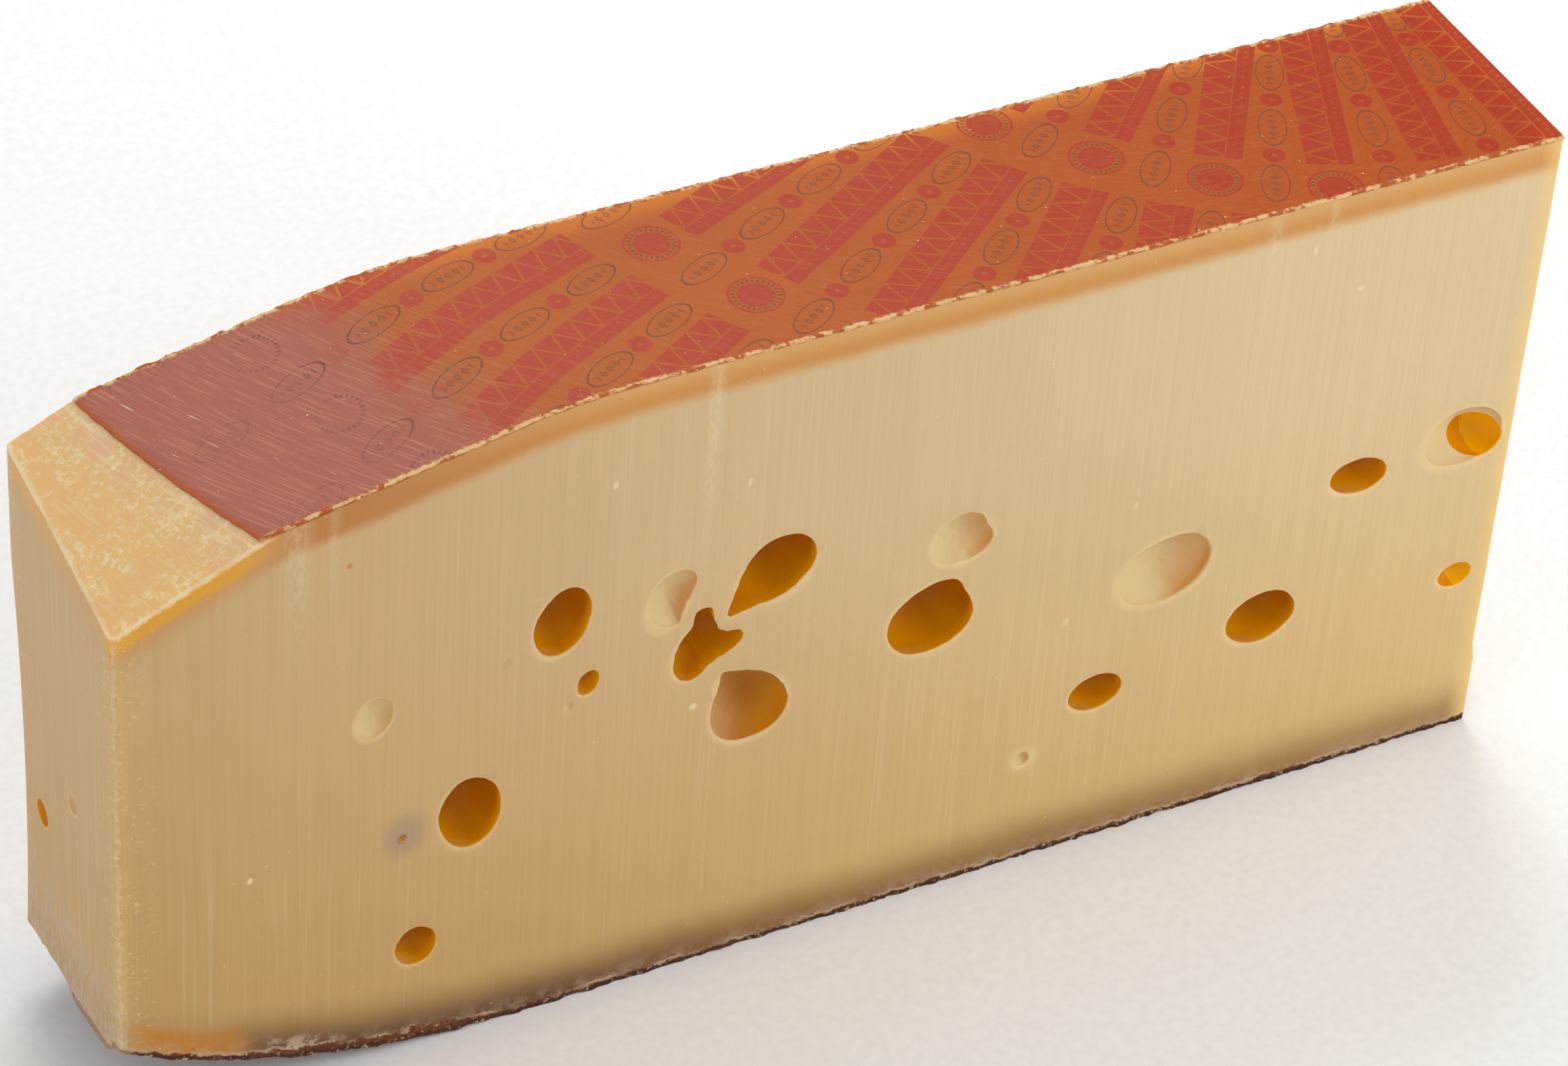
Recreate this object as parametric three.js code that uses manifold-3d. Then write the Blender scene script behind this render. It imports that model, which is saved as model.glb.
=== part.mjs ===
// A slab cut from a big wheel of hard cheese with eyes, standing on the wheel's flat underside.
// Millimetres. +X runs from the wheel's rim towards its middle, -Y is the show cut, +Z is up.

import * as THREE from 'three';
import { mergeVertices } from 'three/addons/utils/BufferGeometryUtils.js';
import Module from 'manifold-3d';

// Slab
const LENGTH = 400;
const HEIGHT = 200;
const THICKNESS = 67;
const BACK_HOLLOW = 3.5;        // how far the wire bowed into the rear cut
const HOLLOW_TOP = 160;
const RIM_END = -LENGTH / 2;
const INNER_END = LENGTH / 2;
const FRONT = -THICKNESS / 2;
const BACK = THICKNESS / 2;

// Wheel that the slab was cut from
const WHEEL_CENTRE = { x: RIM_END + 396, y: FRONT + 151 };
const WHEEL_RADIUS = 452;
const FLAT_RADIUS = 317;        // the underside is flat out to here
const FALL_RADIUS = 296;        // the top face is flat out to here
const RIM_HEIGHT = 100;         // the rim bulges most at this height
const RIM_CORNER = 424;         // radius where the top and underside turn into the rim
const WHEEL_FACETS = 160;

// Printed film stuck on the wheel's top face
const FILM_RADIUS = 388;
const FILM_EDGE_DROP = 16.8;    // how far the film's edge lies below the flat
const FILM_THICKNESS = 0.6;
const FILM_GAP = 0.3;
const CHEESE_TOP = HEIGHT - FILM_THICKNESS - FILM_GAP;

// Eyes: how far a bubble's centre lies behind the cut, as a share of its own depth radius
const DEEP = 0.4;
const HALF = 0;
const SHALLOW = -0.6;
const BUBBLE_COLUMNS = 16;
const BUBBLE_ROWS = 10;

// Each eye: [distance along the face, height, width, eye height, how deep, lean in degrees]
const FRONT_EYES = [
  [68.8, 115.5, 10, 12.7, SHALLOW, 12],
  [118, 129.7, 15, 20, DEEP, 12],
  [125.8, 107.1, 5.7, 7.4, DEEP, 15],
  [149, 126, 14, 19, SHALLOW, 20],
  [180, 127.2, 20, 19, DEEP, 35],
  [156.8, 107.3, 15, 19, DEEP, 20],
  [172.6, 83.8, 21, 24, HALF, 0],
  [232, 118.7, 19, 16, SHALLOW, 0],
  [223.7, 95, 25, 23, DEEP, 0],
  [276.2, 51.8, 15, 11, DEEP, 0],
  [293.6, 88.7, 29, 22, SHALLOW, 0],
  [326.2, 61, 21, 16, DEEP, 0],
  [351.6, 100.9, 17.5, 11.4, DEEP, 0],
  [383.6, 105.1, 25, 19, HALF, 0],
  [388.9, 55, 10.7, 8, HALF, 0],
  [94.5, 74.3, 16, 22, DEEP, 0],
  [80.2, 34.3, 10.7, 11.7, DEEP, 0],
];
const BACK_EYES = [
  [52, 74, 13, 15, DEEP, 10],
  [98, 124, 22, 19, DEEP, 0],
  [131, 66, 12, 12, SHALLOW, 0],
  [166, 98, 25, 21, HALF, 0],
  [198, 44, 14, 11, DEEP, 0],
  [222, 128, 16, 13, SHALLOW, 0],
  [254, 82, 20, 16, DEEP, 0],
  [296, 118, 11, 9, DEEP, 0],
  [322, 60, 27, 21, HALF, 0],
  [358, 106, 15, 12, DEEP, 0],
];
const RIM_END_EYES = [
  [50, 67.5, 7.4, 7.4, DEEP, 0],
  [27.7, 89.4, 6.7, 6.7, SHALLOW, 0],
];
const INNER_END_EYES = [
  [26, 136, 17, 14, DEEP, 0],
  [45, 78, 13, 11, SHALLOW, 0],
];

const wasm = await Module();
wasm.setup();

function toSolid(geometry) {
  const bare = geometry.clone();
  bare.deleteAttribute('normal');
  bare.deleteAttribute('uv');
  const welded = mergeVertices(bare, 1e-4);
  return new wasm.Manifold(new wasm.Mesh({
    numProp: 3,
    vertProperties: new Float32Array(welded.attributes.position.array),
    triVerts: new Uint32Array(welded.index.array),
  }));
}

function toGeometry(solid) {
  const mesh = solid.getMesh();
  const geometry = new THREE.BufferGeometry();
  geometry.setAttribute('position', new THREE.BufferAttribute(new Float32Array(mesh.vertProperties), 3));
  geometry.setIndex(new THREE.BufferAttribute(new Uint32Array(mesh.triVerts), 1));
  geometry.computeVertexNormals();
  return geometry;
}

// Points of the top face's fall towards the rim, from the flat out to the film's edge.
function shoulder(top) {
  return [
    new THREE.Vector2(FALL_RADIUS, top),
    new THREE.Vector2(315, top - 1.2),
    new THREE.Vector2(332, top - 4.3),
    new THREE.Vector2(361, top - 10.8),
    new THREE.Vector2(FILM_RADIUS, top - FILM_EDGE_DROP),
  ];
}

function wheel() {
  const path = new THREE.Path();
  path.moveTo(0, 0);
  path.lineTo(FLAT_RADIUS, 0);
  path.quadraticCurveTo(378, 0, RIM_CORNER, 28.5);
  path.quadraticCurveTo(WHEEL_RADIUS, 55, WHEEL_RADIUS, RIM_HEIGHT);
  path.quadraticCurveTo(WHEEL_RADIUS, 150, RIM_CORNER, CHEESE_TOP - 34.9);
  path.lineTo(FILM_RADIUS, CHEESE_TOP - FILM_EDGE_DROP);
  path.splineThru(shoulder(CHEESE_TOP).reverse().slice(1));
  path.lineTo(0, CHEESE_TOP);
  return onWheelCentre(new THREE.LatheGeometry(path.getPoints(6), WHEEL_FACETS));
}

function film() {
  const under = CHEESE_TOP + FILM_GAP;
  const path = new THREE.Path();
  path.moveTo(0, under);
  path.lineTo(FALL_RADIUS, under);
  path.splineThru(shoulder(under).slice(1));
  path.lineTo(FILM_RADIUS, HEIGHT - FILM_EDGE_DROP);
  path.splineThru(shoulder(HEIGHT).reverse().slice(1));
  path.lineTo(0, HEIGHT);
  return onWheelCentre(new THREE.LatheGeometry(path.getPoints(6), WHEEL_FACETS));
}

// A lathe turns about Y, so it is stood up on Z and moved to the wheel's middle.
function onWheelCentre(geometry) {
  geometry.rotateX(Math.PI / 2);
  geometry.translate(WHEEL_CENTRE.x, WHEEL_CENTRE.y, 0);
  return geometry;
}

// Everything between the two long cuts and the two end cuts; the rear cut is slightly hollow.
function slab() {
  const clear = 10;
  const section = new THREE.Shape();
  section.moveTo(FRONT, -clear);
  section.lineTo(BACK, -clear);
  section.lineTo(BACK, 0);
  section.quadraticCurveTo(BACK - 2 * BACK_HOLLOW, HOLLOW_TOP / 2, BACK, HOLLOW_TOP);
  section.lineTo(BACK, HEIGHT + clear);
  section.lineTo(FRONT, HEIGHT + clear);
  section.closePath();
  const geometry = new THREE.ExtrudeGeometry(section, {
    depth: LENGTH,
    bevelEnabled: false,
    curveSegments: 10,
  });
  geometry.rotateX(Math.PI / 2);
  geometry.rotateZ(Math.PI / 2);
  geometry.translate(RIM_END, 0, 0);
  return geometry;
}

// One bubble, its middle at the cut face's own origin: width along X, depth along Y, height along Z.
function bubble(width, height, sink, lean) {
  const shrink = Math.sqrt(1 - sink * sink);
  const halfWidth = width / 2 / shrink;
  const halfHeight = height / 2 / shrink;
  const halfDepth = (halfWidth + halfHeight) / 2;
  const geometry = new THREE.SphereGeometry(1, BUBBLE_COLUMNS, BUBBLE_ROWS);
  geometry.scale(halfWidth, halfDepth, halfHeight);
  geometry.rotateY(THREE.MathUtils.degToRad(lean));
  geometry.translate(0, sink * halfDepth, 0);
  return geometry;
}

// Eyes of one face: turn brings the bubbles round to the face, whose left foot is at start.
function eyes(list, start, along, turn) {
  return list.map(([distance, z, width, height, sink, lean]) => {
    const geometry = bubble(width, height, sink, lean);
    geometry.rotateZ(turn);
    geometry.translate(start.x + along.x * distance, start.y + along.y * distance, z);
    return toSolid(geometry);
  });
}

function allEyes() {
  const quarter = Math.PI / 2;
  const lengthwise = { x: 1, y: 0 };
  const crosswise = { x: 0, y: 1 };
  return [
    ...eyes(FRONT_EYES, { x: RIM_END, y: FRONT }, lengthwise, 0),
    ...eyes(BACK_EYES, { x: RIM_END, y: BACK - BACK_HOLLOW }, lengthwise, 2 * quarter),
    ...eyes(RIM_END_EYES, { x: RIM_END, y: FRONT }, crosswise, -quarter),
    ...eyes(INNER_END_EYES, { x: INNER_END, y: FRONT }, crosswise, quarter),
  ];
}

function cheeseBlock(cut) {
  let solid = toSolid(wheel()).intersect(cut);
  for (const eye of allEyes()) {
    solid = solid.subtract(eye);
  }
  const mesh = new THREE.Mesh(
    toGeometry(solid),
    new THREE.MeshStandardMaterial({ color: 0xd9be90, roughness: 0.5, metalness: 0 }),
  );
  mesh.name = 'cheese_block';
  return mesh;
}

function rindFilm(cut) {
  const mesh = new THREE.Mesh(
    toGeometry(toSolid(film()).intersect(cut)),
    new THREE.MeshStandardMaterial({ color: 0xbf5a3e, roughness: 0.45, metalness: 0 }),
  );
  mesh.name = 'rind_film';
  return mesh;
}

const cut = toSolid(slab());
const cheese = new THREE.Group();
cheese.add(cheeseBlock(cut), rindFilm(cut));
export default cheese;
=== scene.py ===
"""A slab cut from a big wheel of holey hard cheese, with rough rind below and a printed film on top."""
import math

import bmesh
import bpy
from mathutils import Euler, Matrix, Vector, noise


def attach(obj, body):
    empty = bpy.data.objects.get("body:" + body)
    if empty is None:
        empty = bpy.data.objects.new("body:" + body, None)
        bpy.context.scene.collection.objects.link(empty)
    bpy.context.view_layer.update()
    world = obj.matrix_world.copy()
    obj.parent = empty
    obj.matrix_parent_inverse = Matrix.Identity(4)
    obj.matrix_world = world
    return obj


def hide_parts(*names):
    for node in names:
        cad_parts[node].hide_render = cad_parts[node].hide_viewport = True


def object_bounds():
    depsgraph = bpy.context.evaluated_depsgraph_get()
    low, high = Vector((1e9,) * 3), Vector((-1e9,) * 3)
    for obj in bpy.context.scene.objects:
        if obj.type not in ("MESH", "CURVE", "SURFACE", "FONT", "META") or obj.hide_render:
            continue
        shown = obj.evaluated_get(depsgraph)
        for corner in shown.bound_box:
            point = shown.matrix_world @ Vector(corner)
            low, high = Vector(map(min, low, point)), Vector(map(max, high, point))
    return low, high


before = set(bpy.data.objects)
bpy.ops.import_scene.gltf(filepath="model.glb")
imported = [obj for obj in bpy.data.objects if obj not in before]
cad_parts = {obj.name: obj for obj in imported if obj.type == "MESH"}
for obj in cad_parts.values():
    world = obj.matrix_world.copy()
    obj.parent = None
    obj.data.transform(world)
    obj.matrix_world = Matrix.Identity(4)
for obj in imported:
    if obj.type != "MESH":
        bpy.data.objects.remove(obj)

CAD_LOW, CAD_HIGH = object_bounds()
MM = 0.001

# Slab, in millimetres, read off the frame
RIM_END = CAD_LOW.x / MM
INNER_END = CAD_HIGH.x / MM
FRONT = CAD_LOW.y / MM
BACK = CAD_HIGH.y / MM
HEIGHT = CAD_HIGH.z / MM
LENGTH = INNER_END - RIM_END
THICKNESS = BACK - FRONT

# Wheel that the slab came from
WHEEL_X = RIM_END + 396
WHEEL_Y = FRONT + 151
FLAT_RADIUS = 317
UNDER_RISE = 28.5                                  # how far the underside has risen at the rim corner,
UNDER_REACH = 106.8                                # this far outside its flat part
UNDER_POWER = 2.2
SHOULDER = (296, 34, 0.224)                        # top face: where it starts to fall, run-in, slope
BARE_STRIP = (385, 3, 0.27)                        # the steeper fall outside the film
FILM_RADIUS = 388
FILM_THICKNESS = 0.55
CHEESE_TOP = HEIGHT - FILM_THICKNESS

# Cut faces
BACK_HOLLOW = 4.9
HOLLOW_TOP = 140
CORNER_ROUND = 2.6
EDGE_ROUND = 0.7
STEP_HEIGHT = 24                                   # the inner end was trimmed down to here
STEP_DEPTH = 1.1
END_ONLY = 40                                      # a power of the share of the length: 1 only at the end

# How an eye was met by the cut: how far its middle lies behind the face, as a share of its half depth
DEEP, HALF, OPEN, DISH = 0.4, 0.0, -0.15, -0.6


def oval(width, tall, lean=0):
    """An egg-shaped mouth; lean tips its top towards the inner end, in degrees."""
    return {"spokes": (), "lobes": ((0, 0, width, tall, lean),)}


def drawn(points, lobes):
    """A mouth of any shape: points round its edge from its middle, and the ovals that roughly fill it."""
    spokes = sorted((math.atan2(up, right) % math.tau, math.hypot(right, up)) for right, up in points)
    return {"spokes": spokes, "lobes": lobes}


TEARDROP = drawn(
    ((9.5, 3), (8, 6.5), (4.5, 9.6), (0.5, 10.3), (-4.5, 9.3), (-7.5, 7), (-10, 3), (-11.7, -2),
     (-13.2, -7), (-14.9, -11.8), (-10.5, -10.6), (-5.5, -9.6), (-1.5, -9.4), (2.5, -8), (6, -5),
     (9, -1)),
    ((0, 0, 19, 19.5, 20), (-7, -2, 11, 15, 20)),
)
FORKED = drawn(
    ((2.2, 12.5), (1.4, 13.3), (-1.5, 13.4), (-3.2, 12.5), (-3.1, 8.8), (-4.7, 7), (-7, 3),
     (-8, -1), (-7.8, -5), (-6, -8), (-3.2, -9.2), (-0.7, -8), (1.3, -5.7), (4, -4), (7.5, -2.6),
     (10, -0.7), (10.9, 1.5), (9.5, 3.5), (6, 3.8), (3.8, 5.3), (2.2, 8.8)),
    ((-2.5, 0, 12, 17, 12), (-0.5, 8, 5, 10, 0), (5, 1, 11, 6, 0)),
)
POINTED = drawn(
    ((-9.6, 13.6), (-5, 12.5), (0, 11.1), (4, 9), (7.5, 5), (10, 0.5), (10.7, -2.5), (9.8, -6),
     (7.5, -9.2), (4.5, -10.9), (0, -11.6), (-5, -11.3), (-7.5, -10), (-10, -7.3), (-11.4, -3.5),
     (-11.4, 1.5), (-10.2, 6.5), (-9.4, 10)),
    ((-0.5, -1, 22, 22, 0), (-6, 7, 9, 13, -30)),
)
CRESCENT = drawn(
    ((3.5, 9.2), (6.5, 7.6), (7.8, 5), (6.8, 1.5), (4.8, -2.5), (3.8, -6), (3.3, -9), (1, -9.4),
     (-2.5, -8.2), (-5, -5.5), (-6.3, -2), (-5.9, 2), (-4, 6), (-0.5, 8.8)),
    ((0, 0, 12, 19, 15),),
)
BLUNT = drawn(
    ((3.2, 11.3), (6.5, 10.5), (9.2, 6), (11.6, 1.5), (12.2, -2), (10.7, -6), (7.7, -8.7),
     (3.2, -10.7), (-1.8, -11.2), (-7.3, -9.7), (-10.8, -6), (-12.3, -1.5), (-11.5, 3.5),
     (-7.8, 7.5), (-2.8, 10.3)),
    ((0, 0, 24.5, 22, 20),),
)
THREE_SIDED = drawn(
    ((0.7, 8.8), (4.7, 7), (7.2, 2.5), (9.4, -1.8), (7.7, -5.2), (4.2, -7.3), (-0.8, -7.7),
     (-5.3, -7), (-8.3, -4.5), (-8.8, -0.5), (-7.8, 4), (-3.8, 7.6)),
    ((0, 0, 18, 16, 0),),
)

# Each eye: distance along the face, height, how it was met, mouth
FRONT_EYES = (
    (68.0, 116.7, DISH, oval(10.3, 13.2, 12)),
    (118.0, 130.7, DEEP, oval(14.6, 20.8, 15)),
    (125.8, 108.3, DEEP, oval(5.6, 7.7, 15)),
    (120.6, 101.9, DISH, oval(3.4, 4, 0)),
    (147.5, 128.0, DISH, CRESCENT),
    (178.5, 128.2, DEEP, TEARDROP),
    (157.8, 108.3, DEEP, FORKED),
    (172.6, 85.3, OPEN, POINTED),
    (230.8, 120.7, DISH, THREE_SIDED),
    (223.5, 96.5, DEEP, BLUNT),
    (276.3, 52.8, DEEP, oval(15.8, 11.8)),
    (293.6, 89.8, DISH, oval(28.8, 22.3, -8)),
    (326.0, 62.4, DEEP, oval(20.9, 16.7)),
    (351.0, 102.9, DEEP, oval(17.2, 11.2, 8)),
    (383.1, 106.1, DISH, oval(25, 19.5)),
    (388.4, 104.0, DEEP, oval(14.6, 11.6, 26)),
    (388.2, 56.5, HALF, oval(10.6, 8)),
    (94.5, 75.9, DEEP, oval(16.2, 23, -5)),
    (80.3, 35.3, DEEP, oval(10.8, 12.4)),
    (76.0, 73.4, DEEP, oval(1.5, 1.5)),
    (255.7, 36.3, DISH, oval(5, 5)),
)
BACK_EYES = (
    (52, 74, DEEP, oval(13, 15, 10)),
    (98, 124, DEEP, oval(22, 19)),
    (131, 66, DISH, oval(12, 12)),
    (166, 98, HALF, oval(25, 21)),
    (198, 44, DEEP, oval(14, 11)),
    (222, 128, DISH, oval(16, 13)),
    (254, 82, DEEP, oval(20, 16)),
    (296, 118, DEEP, oval(11, 9)),
    (322, 60, HALF, oval(27, 21)),
    (358, 106, DEEP, oval(15, 12)),
)
RIM_END_EYES = (
    (50.5, 67.5, DEEP, oval(7.4, 7.4)),
    (28.5, 89, DISH, oval(6.2, 6.2)),
)
INNER_END_EYES = (
    (26, 136, DEEP, oval(17, 14)),
    (45, 78, DISH, oval(13, 11)),
)


def wheel_radius(x, y):
    return math.hypot(x - WHEEL_X, y - WHEEL_Y)


def fall(radius, start, run_in, slope):
    """A slope that begins softly at a radius."""
    past = max(0, radius - start)
    soft = min(past, run_in)
    return slope * (soft * soft / (2 * run_in) + past - soft)


def top_of_wheel(x, y):
    radius = wheel_radius(x, y)
    return CHEESE_TOP - fall(radius, *SHOULDER) - fall(radius, *BARE_STRIP)


def under_of_wheel(x, y):
    past = max(0, wheel_radius(x, y) - FLAT_RADIUS)
    return UNDER_RISE * (past / UNDER_REACH) ** UNDER_POWER


def back_hollow(z):
    share = min(1, max(0, z / HOLLOW_TOP))
    return 4 * BACK_HOLLOW * share * (1 - share)


def cut_waves(x, z):
    """Shallow waves that the wire left on the long faces, inwards positive."""
    broad = 0.2 * wander(x, 0, z, 70, 1)
    upright = 0.08 * wander(x, 0, z / 6, 16, 2)
    fine = 0.03 * wander(x, 0, z / 14, 4, 3)
    return broad + upright + fine


# ---------------------------------------------------------------- shop helpers

def clear_selection():
    bpy.ops.object.select_all(action="DESELECT")


def take(piece):
    clear_selection()
    piece.select_set(True)
    bpy.context.view_layer.objects.active = piece


def edit(piece):
    take(piece)
    bpy.ops.object.mode_set(mode="EDIT")
    bpy.ops.mesh.select_all(action="DESELECT")


def done():
    bpy.ops.object.mode_set(mode="OBJECT")


def apply_modifier(piece, kind, **settings):
    take(piece)
    modifier = piece.modifiers.new(kind.title(), kind)
    for key, value in settings.items():
        setattr(modifier, key, value)
    bpy.ops.object.modifier_apply(modifier=modifier.name)


def move_points(piece, rule):
    """Moves every point of a mesh by hand: rule takes and gives millimetres."""
    for vertex in piece.data.vertices:
        vertex.co = Vector(rule(*(vertex.co / MM))) * MM


def wander(x, y, z, size, seed=0):
    """Smooth noise, -1 to 1, with bumps about size millimetres across."""
    return noise.noise(Vector((x / size + seed * 17.3, y / size - seed * 5.1, z / size + seed * 9.7)))


# ---------------------------------------------------------------- cheese

RIND_COURSES = [1.2] * 8
TOP_COURSES = [0.9] * 4
TALL_COURSES = [(HEIGHT - sum(RIND_COURSES + TOP_COURSES)) / 30] * 30
CORNER_ROWS = (0.35, 0.8, 1.35, 1.95, 2.6)         # extra rows of points that make the round front corner
EDGE_ROWS = (0.2, 0.42, 0.7)                       # the same for the sharper edges
CORNERS = ((-1, -1, CORNER_ROUND), (-1, 1, EDGE_ROUND), (1, -1, EDGE_ROUND), (1, 1, EDGE_ROUND))


def raise_block():
    """A ruled footprint with rounded corners, drawn up in courses, fine ones near both rinds."""
    bpy.ops.mesh.primitive_grid_add(x_subdivisions=280, y_subdivisions=34, size=1)
    block = bpy.context.object
    block.name = "cheese_slab"
    block.scale = (LENGTH * MM, THICKNESS * MM, 1)
    bpy.ops.object.transform_apply(location=True, rotation=True, scale=True)
    edit(block)
    for row in CORNER_ROWS:
        rule_line((RIM_END + row, 0), (1, 0, 0))
        rule_line((0, FRONT + row), (0, 1, 0))
    for row in EDGE_ROWS:
        rule_line((INNER_END - row, 0), (1, 0, 0))
        rule_line((0, BACK - row), (0, 1, 0))
    done()
    move_points(block, round_corners)
    edit(block)
    bpy.ops.mesh.select_all(action="SELECT")
    for course in RIND_COURSES + TALL_COURSES + TOP_COURSES:
        bpy.ops.mesh.extrude_region_move(TRANSFORM_OT_translate={"value": (0, 0, course * MM)})
    bpy.ops.mesh.select_all(action="SELECT")
    bpy.ops.mesh.normals_make_consistent(inside=False)
    done()
    return block


def rule_line(place, across):
    """Adds one more row of points to a flat sheet, through a place and across a direction."""
    bpy.ops.mesh.select_all(action="SELECT")
    bpy.ops.mesh.bisect(plane_co=(place[0] * MM, place[1] * MM, 0), plane_no=across)


def round_corners(x, y, z):
    for x_side, y_side, size in CORNERS:
        middle_x = x_side * (LENGTH / 2 - size)
        middle_y = y_side * (THICKNESS / 2 - size)
        out_x = (x - middle_x) * x_side / size
        out_y = (y - middle_y) * y_side / size
        if out_x > 0 and out_y > 0:
            pull = max(out_x, out_y) / math.hypot(out_x, out_y)
            return middle_x + x_side * size * out_x * pull, middle_y + y_side * size * out_y * pull, z
    return x, y, z


def press_between_faces(x, y, z):
    low, high = under_of_wheel(x, y), top_of_wheel(x, y)
    return x, y, low + (high - low) * z / HEIGHT


def shape_cuts(x, y, z):
    """The wire's marks: a hollow back, a trimmed inner end and shallow waves on each long face."""
    share_front = max(0, (y - FRONT) / THICKNESS)
    pull_back = share_front * back_hollow(z)
    swing = cut_waves(x, z) * (1 - 2 * share_front)
    inner = (x - RIM_END) / LENGTH
    step = STEP_HEIGHT + 0.8 * wander(y, 0, 0, 9, 5)
    trim = STEP_DEPTH * (1 + 0.15 * wander(y, 0, z, 12, 4)) if z > step else 0
    return x - trim * inner ** END_ONLY, y - pull_back + swing, z


def roughen_rind(x, y, z):
    """Craggy rind on the underside and along its lowest edge."""
    above = z - under_of_wheel(x, y)
    if above > 6:
        return x, y, z
    near = max(0, 1 - above / 5)
    crags = 0.75 * wander(x, y, above, 5.5, 6) + 0.6 * wander(x, y, above, 2.3, 7)
    lift = max(-0.2, crags) * near - rind_flap(x, y) * max(0, 1 - above / 4)
    jut = (0.55 * wander(x, y, z, 3.1, 8) + 0.45 * wander(x, y, z, 1.5, 9)) * near
    edge = abs(2 * (y - FRONT) / THICKNESS - 1) ** 30
    side = 1 if y > 0 else -1
    return x, y + side * edge * jut, max(0, z + lift)


FLAP_DROP = 4.2


def rind_flap(x, y):
    """How far a loose flap of rind hangs down under the front half of the rim end."""
    along = (x - RIM_END) / 18
    across = (y - FRONT - 20) / 14.5
    return FLAP_DROP * math.exp(-along ** 2 - across ** 8)


def crumble_edges(x, y, z):
    """Tiny breaks along the upper edges of the cut faces."""
    below = top_of_wheel(x, y) - z
    from_edge = min(y - FRONT, BACK - y, x - RIM_END, INNER_END - x)
    near = max(0, 1 - below / 1.6) * max(0, 1 - from_edge / 1.4)
    bits = 0.32 * wander(x, y, z, 2.6, 30) + 0.25 * wander(x, y, z, 1.1, 31)
    return x, y, z + near * min(0.1, bits - 0.12)


def cheese_block():
    block = raise_block()
    for rule in (press_between_faces, crumble_edges, shape_cuts, roughen_rind):
        move_points(block, rule)
    return block


# ---------------------------------------------------------------- eyes

def on_front_cut(distance, height):
    x = RIM_END + distance
    return x, FRONT + cut_waves(x, height), height


def on_back_cut(distance, height):
    x = RIM_END + distance
    return x, BACK - back_hollow(height) - cut_waves(x, height), height


def on_rim_end(distance, height):
    return RIM_END, FRONT + distance, height


def on_inner_end(distance, height):
    return INNER_END - STEP_DEPTH, FRONT + distance, height


# Each cut face: its eyes, a point of it by distance and height, the way along it and the way in
CUT_FACES = (
    (FRONT_EYES, on_front_cut, (1, 0, 0), (0, 1, 0)),
    (BACK_EYES, on_back_cut, (1, 0, 0), (0, -1, 0)),
    (RIM_END_EYES, on_rim_end, (0, 1, 0), (1, 0, 0)),
    (INNER_END_EYES, on_inner_end, (0, 1, 0), (-1, 0, 0)),
)


def mouth_reach(mouth, angle):
    """How far a mouth's edge lies from its middle, in the direction of an angle."""
    if mouth["spokes"]:
        return sum(between_spokes(mouth["spokes"], angle + turn) for turn in (-0.05, 0, 0.05)) / 3
    width, tall, lean = mouth["lobes"][0][2:]
    angle += math.radians(lean)
    return 0.5 / math.hypot(math.cos(angle) / width, math.sin(angle) / tall)


def between_spokes(spokes, angle):
    angle %= math.tau
    before, after = spokes[-1], spokes[0]
    start, end = before[0] - math.tau, after[0]
    for here, following in zip(spokes, spokes[1:] + [(spokes[0][0] + math.tau, spokes[0][1])]):
        if here[0] <= angle < following[0]:
            before, after, start, end = here, following, here[0], following[0]
    share = (angle - start) / (end - start)
    return before[1] + (after[1] - before[1]) * share


def mean_reach(mouth):
    return sum(mouth_reach(mouth, math.radians(step)) for step in range(0, 360, 10)) / 36


def eye_cutter(eye, face, index):
    """One bubble with a softly flared mouth at the cut face, solid, ready to be cut away."""
    distance, height, sink, mouth = eye
    place_at, along, inward = face[1], Vector(face[2]), Vector(face[3])
    middle = Vector(place_at(distance, height))
    size = mean_reach(mouth)
    rounds = 88 if mouth["spokes"] else 28 if size < 4 else 56
    bpy.ops.mesh.primitive_uv_sphere_add(segments=rounds, ring_count=rounds * 3 // 8, radius=MM)
    cutter = bpy.context.object
    widest = math.sqrt(1 - sink * sink)
    deep = size / widest
    rough = 0.02 * size if mouth["spokes"] else 0.05 * size

    def blow(x, y, z):
        """Takes a point of a ball of size one to its place on the bubble."""
        angle = math.atan2(y, x)
        inside = max(0, (z + sink) / (1 + sink))
        reach = mouth_reach(mouth, angle)
        reach += (size - reach) * 0.8 * inside ** 2
        out = math.hypot(x, y) / widest * reach
        spot = middle + along * out * math.cos(angle) + inward * (z + sink) * deep
        spot.z += out * math.sin(angle)
        swell = rough * wander(*spot, 0.9 * size, 10 + index) + 0.14 * wander(*spot, 1.3, 60 + index)
        return spot + (spot - middle).normalized() * swell

    move_points(cutter, blow)
    open_mouth(cutter, middle * MM, inward, min(0.45, 0.1 * size))
    return cutter


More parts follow.
